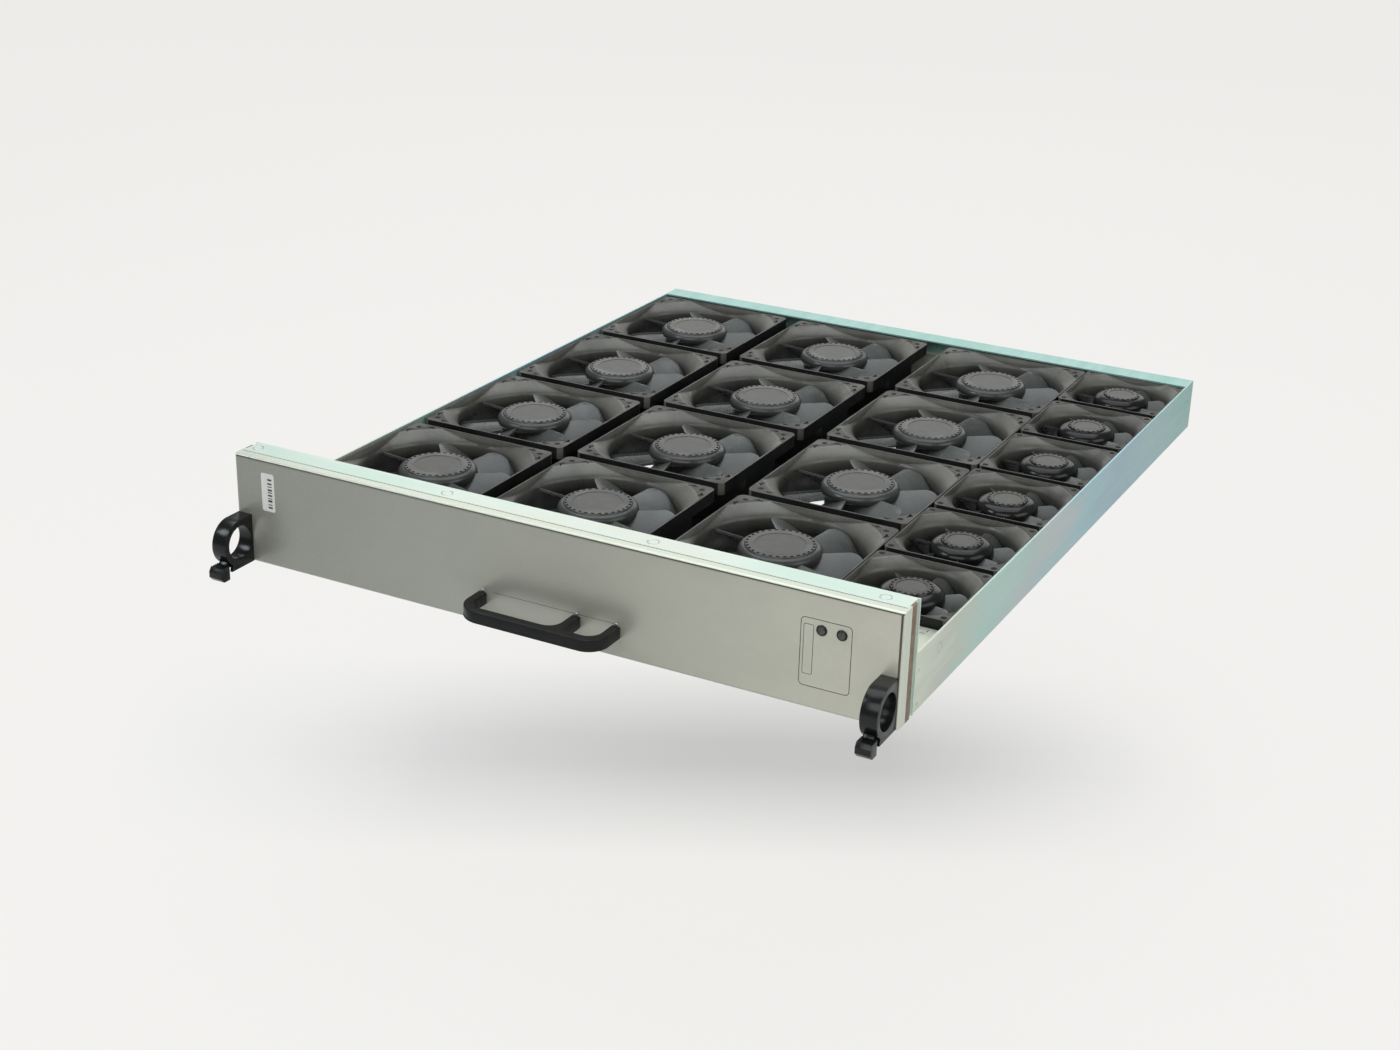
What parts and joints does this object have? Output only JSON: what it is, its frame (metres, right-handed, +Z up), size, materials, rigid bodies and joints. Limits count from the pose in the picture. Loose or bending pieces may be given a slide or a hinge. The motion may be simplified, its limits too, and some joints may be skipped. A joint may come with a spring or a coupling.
{
  "type": "switch fan tray",
  "caption": "Sliding fan tray for a rack switch: an open sheet metal pan of axial fans behind a flat front panel with a pull handle and two finger ring latches.",
  "frame": {"origin": "middle of the underside, on the solid strip between the second and third row of large fans", "axes": "+X to the right along the front panel, +Y from the front panel to the rear connector, +Z up, the side the fans draw air from"},
  "size_m": [0.4826, 0.653, 0.08],
  "materials": {
    "zinc_sheet": "clear zinc plated, satin with faint colour",
    "bezel_paint": "satin warm grey",
    "plated_steel": "plated",
    "gasket": "conductive fabric over foam, matt",
    "handle_paint": "satin black, finely ribbed on its outer face",
    "gloss_black": "gloss",
    "lens": "dark grey, unlit",
    "circuit_board": "solder mask",
    "pale_plastic": "moulded, semi matt",
    "cable_sleeve": "braided sleeve",
    "fan_housing": "moulded, soft sheen",
    "fan_rotor": "moulded, soft sheen",
    "small_fan_rotor": "glossy hub"
  },
  "bodies": {
    "tray": {"tray_pan": "zinc_sheet", "bay_cover": "zinc_sheet", "front_channel": "zinc_sheet", "bezel": "bezel_paint", "panel_spacers": "plated_steel", "end_gaskets": "gasket", "pull_handle": "handle_paint", "ring_handle_left": "gloss_black", "ring_handle_right": "gloss_black", "trigger_pins": "plated_steel", "status_lights": "lens", "controller_board": "circuit_board", "board_posts": "plated_steel", "rear_connector": "pale_plastic", "rear_guide_pins": "plated_steel", "main_trunk": "cable_sleeve", "side_trunk": "cable_sleeve", "trunk_clips": "pale_plastic", "lead_plugs": "pale_plastic", "large_fan_frame_11": "fan_housing", "large_fan_frame_12": "fan_housing", "large_fan_frame_13": "fan_housing", "large_fan_frame_14": "fan_housing", "large_fan_frame_21": "fan_housing", "large_fan_frame_22": "fan_housing", "large_fan_frame_23": "fan_housing", "large_fan_frame_24": "fan_housing", "large_fan_frame_31": "fan_housing", "large_fan_frame_32": "fan_housing", "large_fan_frame_33": "fan_housing", "large_fan_frame_34": "fan_housing", "small_fan_frame_41": "fan_housing", "small_fan_frame_42": "fan_housing", "small_fan_frame_43": "fan_housing", "small_fan_frame_44": "fan_housing", "small_fan_frame_45": "fan_housing", "small_fan_frame_46": "fan_housing"},
    "large_impeller_11": {"large_impeller_11": "fan_rotor"},
    "large_impeller_12": {"large_impeller_12": "fan_rotor"},
    "large_impeller_13": {"large_impeller_13": "fan_rotor"},
    "large_impeller_14": {"large_impeller_14": "fan_rotor"},
    "large_impeller_21": {"large_impeller_21": "fan_rotor"},
    "large_impeller_22": {"large_impeller_22": "fan_rotor"},
    "large_impeller_23": {"large_impeller_23": "fan_rotor"},
    "large_impeller_24": {"large_impeller_24": "fan_rotor"},
    "large_impeller_31": {"large_impeller_31": "fan_rotor"},
    "large_impeller_32": {"large_impeller_32": "fan_rotor"},
    "large_impeller_33": {"large_impeller_33": "fan_rotor"},
    "large_impeller_34": {"large_impeller_34": "fan_rotor"},
    "small_impeller_41": {"small_impeller_41": "small_fan_rotor"},
    "small_impeller_42": {"small_impeller_42": "small_fan_rotor"},
    "small_impeller_43": {"small_impeller_43": "small_fan_rotor"},
    "small_impeller_44": {"small_impeller_44": "small_fan_rotor"},
    "small_impeller_45": {"small_impeller_45": "small_fan_rotor"},
    "small_impeller_46": {"small_impeller_46": "small_fan_rotor"},
    "latch_trigger_left": {"latch_trigger_left": "gloss_black"},
    "latch_trigger_right": {"latch_trigger_right": "gloss_black"}
  },
  "joints": [
    {"name": "large_fan_spin_11", "type": "hinge", "parent": "tray", "child": "large_impeller_11", "pos_m": [-0.1721, -0.1935, 0.02], "axis": [0, 0, 1], "continuous": true},
    {"name": "large_fan_spin_12", "type": "hinge", "parent": "tray", "child": "large_impeller_12", "pos_m": [-0.1721, -0.0645, 0.02], "axis": [0, 0, 1], "continuous": true},
    {"name": "large_fan_spin_13", "type": "hinge", "parent": "tray", "child": "large_impeller_13", "pos_m": [-0.1721, 0.0645, 0.02], "axis": [0, 0, 1], "continuous": true},
    {"name": "large_fan_spin_14", "type": "hinge", "parent": "tray", "child": "large_impeller_14", "pos_m": [-0.1721, 0.1935, 0.02], "axis": [0, 0, 1], "continuous": true},
    {"name": "large_fan_spin_21", "type": "hinge", "parent": "tray", "child": "large_impeller_21", "pos_m": [-0.0401, -0.1935, 0.02], "axis": [0, 0, 1], "continuous": true},
    {"name": "large_fan_spin_22", "type": "hinge", "parent": "tray", "child": "large_impeller_22", "pos_m": [-0.0401, -0.0645, 0.02], "axis": [0, 0, 1], "continuous": true},
    {"name": "large_fan_spin_23", "type": "hinge", "parent": "tray", "child": "large_impeller_23", "pos_m": [-0.0401, 0.0645, 0.02], "axis": [0, 0, 1], "continuous": true},
    {"name": "large_fan_spin_24", "type": "hinge", "parent": "tray", "child": "large_impeller_24", "pos_m": [-0.0401, 0.1935, 0.02], "axis": [0, 0, 1], "continuous": true},
    {"name": "large_fan_spin_31", "type": "hinge", "parent": "tray", "child": "large_impeller_31", "pos_m": [0.0986, -0.1935, 0.02], "axis": [0, 0, 1], "continuous": true},
    {"name": "large_fan_spin_32", "type": "hinge", "parent": "tray", "child": "large_impeller_32", "pos_m": [0.0986, -0.0645, 0.02], "axis": [0, 0, 1], "continuous": true},
    {"name": "large_fan_spin_33", "type": "hinge", "parent": "tray", "child": "large_impeller_33", "pos_m": [0.0986, 0.0645, 0.02], "axis": [0, 0, 1], "continuous": true},
    {"name": "large_fan_spin_34", "type": "hinge", "parent": "tray", "child": "large_impeller_34", "pos_m": [0.0986, 0.1935, 0.02], "axis": [0, 0, 1], "continuous": true},
    {"name": "small_fan_spin_41", "type": "hinge", "parent": "tray", "child": "small_impeller_41", "pos_m": [0.1993, -0.212, 0.02], "axis": [0, 0, 1], "continuous": true},
    {"name": "small_fan_spin_42", "type": "hinge", "parent": "tray", "child": "small_impeller_42", "pos_m": [0.1993, -0.126, 0.02], "axis": [0, 0, 1], "continuous": true},
    {"name": "small_fan_spin_43", "type": "hinge", "parent": "tray", "child": "small_impeller_43", "pos_m": [0.1993, -0.04, 0.02], "axis": [0, 0, 1], "continuous": true},
    {"name": "small_fan_spin_44", "type": "hinge", "parent": "tray", "child": "small_impeller_44", "pos_m": [0.1993, 0.046, 0.02], "axis": [0, 0, 1], "continuous": true},
    {"name": "small_fan_spin_45", "type": "hinge", "parent": "tray", "child": "small_impeller_45", "pos_m": [0.1993, 0.132, 0.02], "axis": [0, 0, 1], "continuous": true},
    {"name": "small_fan_spin_46", "type": "hinge", "parent": "tray", "child": "small_impeller_46", "pos_m": [0.1993, 0.218, 0.02], "axis": [0, 0, 1], "continuous": true},
    {"name": "latch_trigger_left_pivot", "type": "hinge", "parent": "tray", "child": "latch_trigger_left", "pos_m": [-0.2346, -0.3355, 0.0037], "axis": [1, 0, 0], "range_deg": [0, 12], "stiffness_Nm_per_rad": 0.3, "springref_deg": -6.88},
    {"name": "latch_trigger_right_pivot", "type": "hinge", "parent": "tray", "child": "latch_trigger_right", "pos_m": [0.2346, -0.3355, 0.0037], "axis": [1, 0, 0], "range_deg": [0, 12], "stiffness_Nm_per_rad": 0.3, "springref_deg": -6.88}
  ]
}
